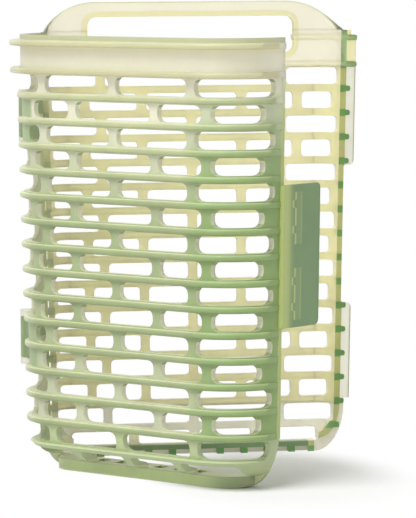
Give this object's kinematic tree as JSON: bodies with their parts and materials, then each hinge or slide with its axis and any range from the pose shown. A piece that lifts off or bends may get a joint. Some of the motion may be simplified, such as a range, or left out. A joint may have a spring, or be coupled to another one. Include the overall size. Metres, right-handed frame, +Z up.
{
  "type": "produce keeper",
  "caption": "Translucent vented basket in two ribbed, slotted half shells that open like a book on a vertical snap hinge, with a carrying arch, latch tabs and a raised drain floor.",
  "frame": {"origin": "on the floor, under the middle floor strut of the rear half, half way along it", "axes": "+Z up; +X from the hinge side to the latch side; +Y from the opening towards the back wall of the rear half"},
  "size_m": [0.1438, 0.1248, 0.183],
  "materials": {
    "pale_green_plastic": "translucent satin"
  },
  "bodies": {
    "rear_half": {"rear_grille": "pale_green_plastic", "rear_hinge_corner": "pale_green_plastic", "rear_latch_corner": "pale_green_plastic", "rear_top_band": "pale_green_plastic", "rear_handle": "pale_green_plastic", "rear_skirt": "pale_green_plastic", "rear_floor": "pale_green_plastic", "rear_upper_tab": "pale_green_plastic", "rear_lower_tab": "pale_green_plastic", "upper_hinge_pin": "pale_green_plastic", "lower_hinge_pin": "pale_green_plastic"},
    "front_half": {"front_grille": "pale_green_plastic", "front_hinge_corner": "pale_green_plastic", "front_latch_corner": "pale_green_plastic", "front_top_band": "pale_green_plastic", "front_skirt": "pale_green_plastic", "front_floor": "pale_green_plastic", "front_latch_tab": "pale_green_plastic", "upper_hinge_clip": "pale_green_plastic", "lower_hinge_clip": "pale_green_plastic"}
  },
  "joints": [
    {"name": "basket_hinge", "type": "hinge", "parent": "rear_half", "child": "front_half", "pos_m": [-0.06825, -0.00306, 0.09383], "axis": [0, 0, -1], "range_deg": [-48.3, 131.7]}
  ]
}
